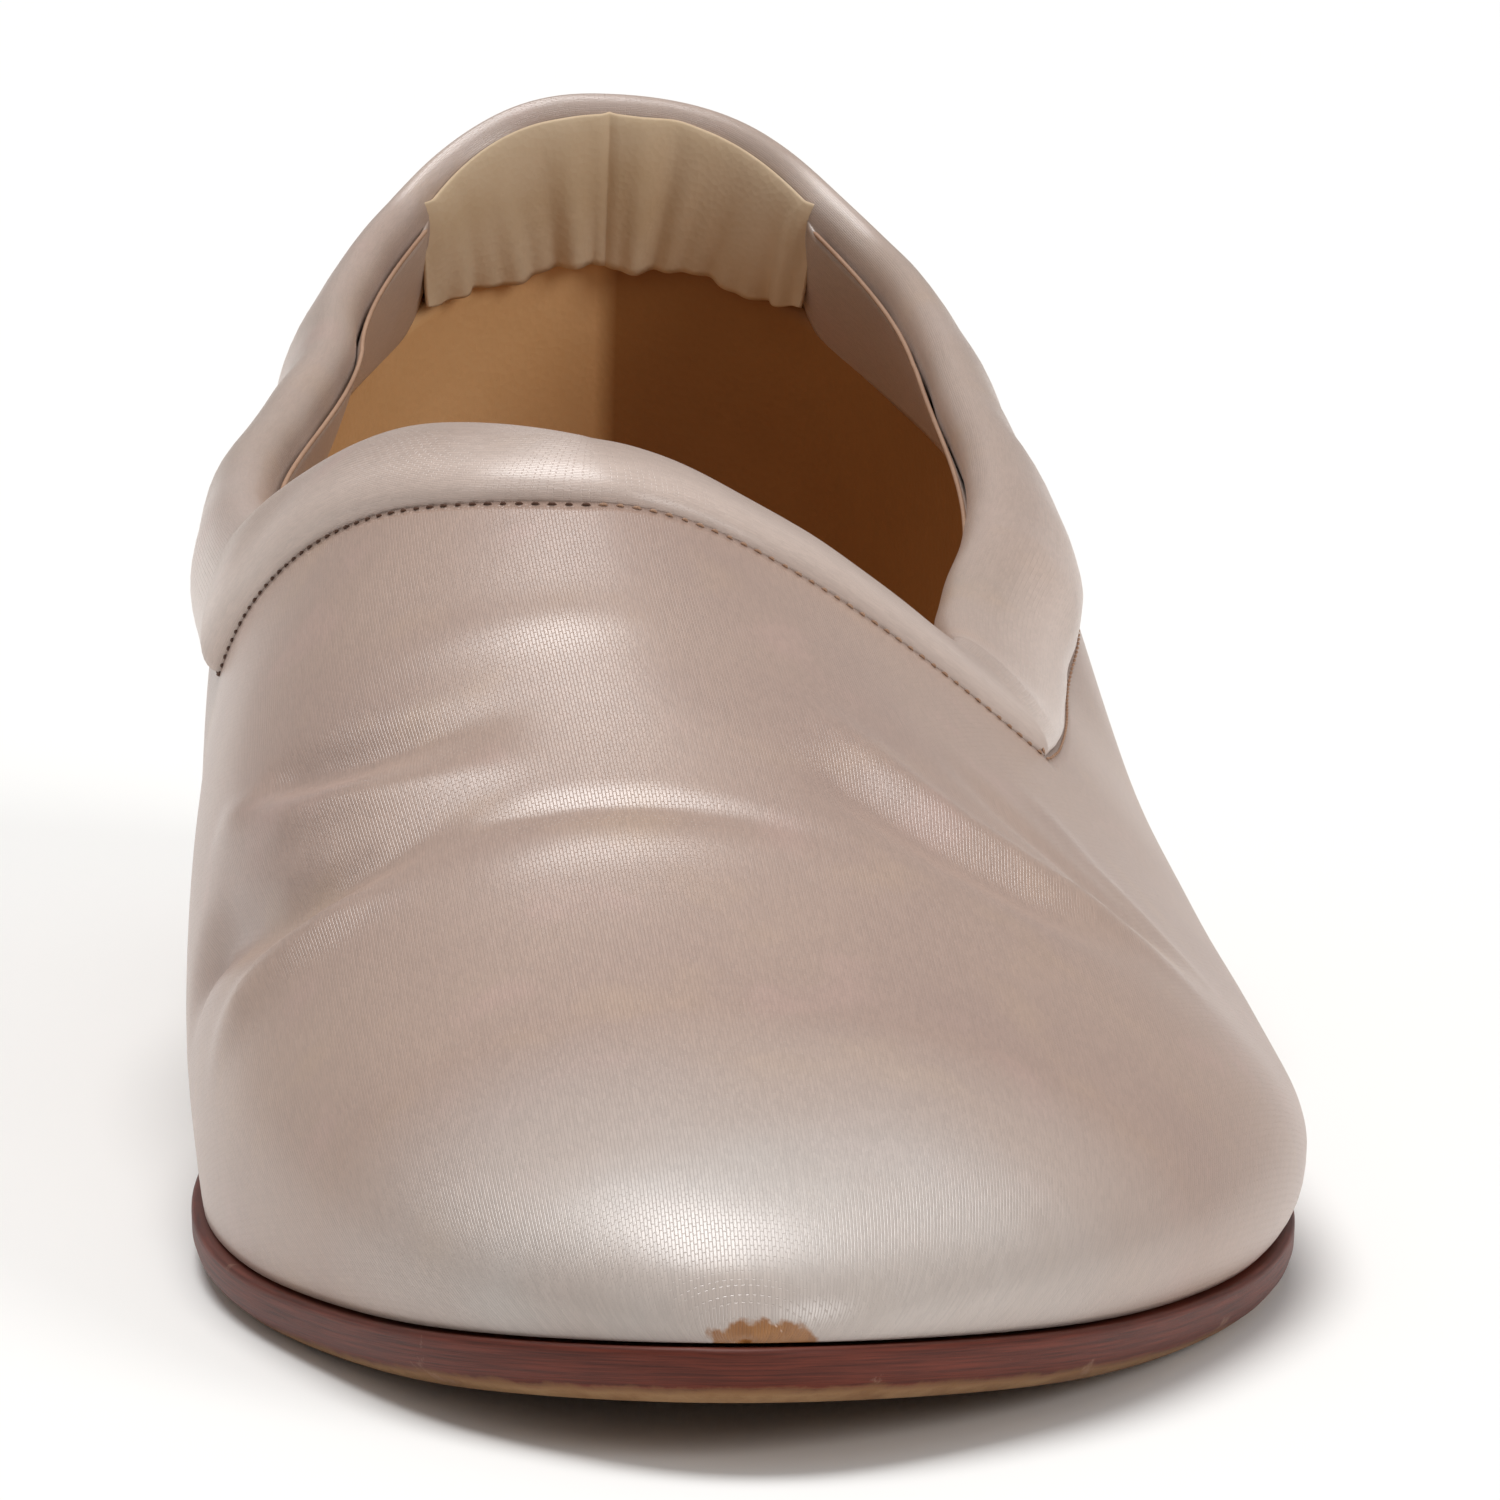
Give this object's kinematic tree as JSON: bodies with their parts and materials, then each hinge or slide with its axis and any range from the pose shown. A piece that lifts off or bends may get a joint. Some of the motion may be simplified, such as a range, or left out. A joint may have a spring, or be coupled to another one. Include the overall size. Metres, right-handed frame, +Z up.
{
  "type": "ballet flat shoe",
  "caption": "Left ballet flat with a hollow satin upper, a padded topline band that meets in a V on each side, a thin leather outsole and a low heel.",
  "frame": {"origin": "on the floor, under the middle of the shoe's bounding box", "axes": "+X towards the wearer's outer side, -Y towards the toe, +Z up"},
  "size_m": [0.083, 0.2586, 0.0689],
  "materials": {
    "upper_satin": "satin weave with a soft sheen",
    "band_satin": "padded satin with a soft sheen",
    "sole_leather": "stained and waxed edge, worn below",
    "heel_leather": "stained stacked leather",
    "insole_leather": "smooth undyed leather"
  },
  "bodies": {
    "root": {"upper": "upper_satin", "topline_band": "band_satin", "outsole": "sole_leather", "heel": "heel_leather", "insole": "insole_leather"}
  },
  "joints": []
}
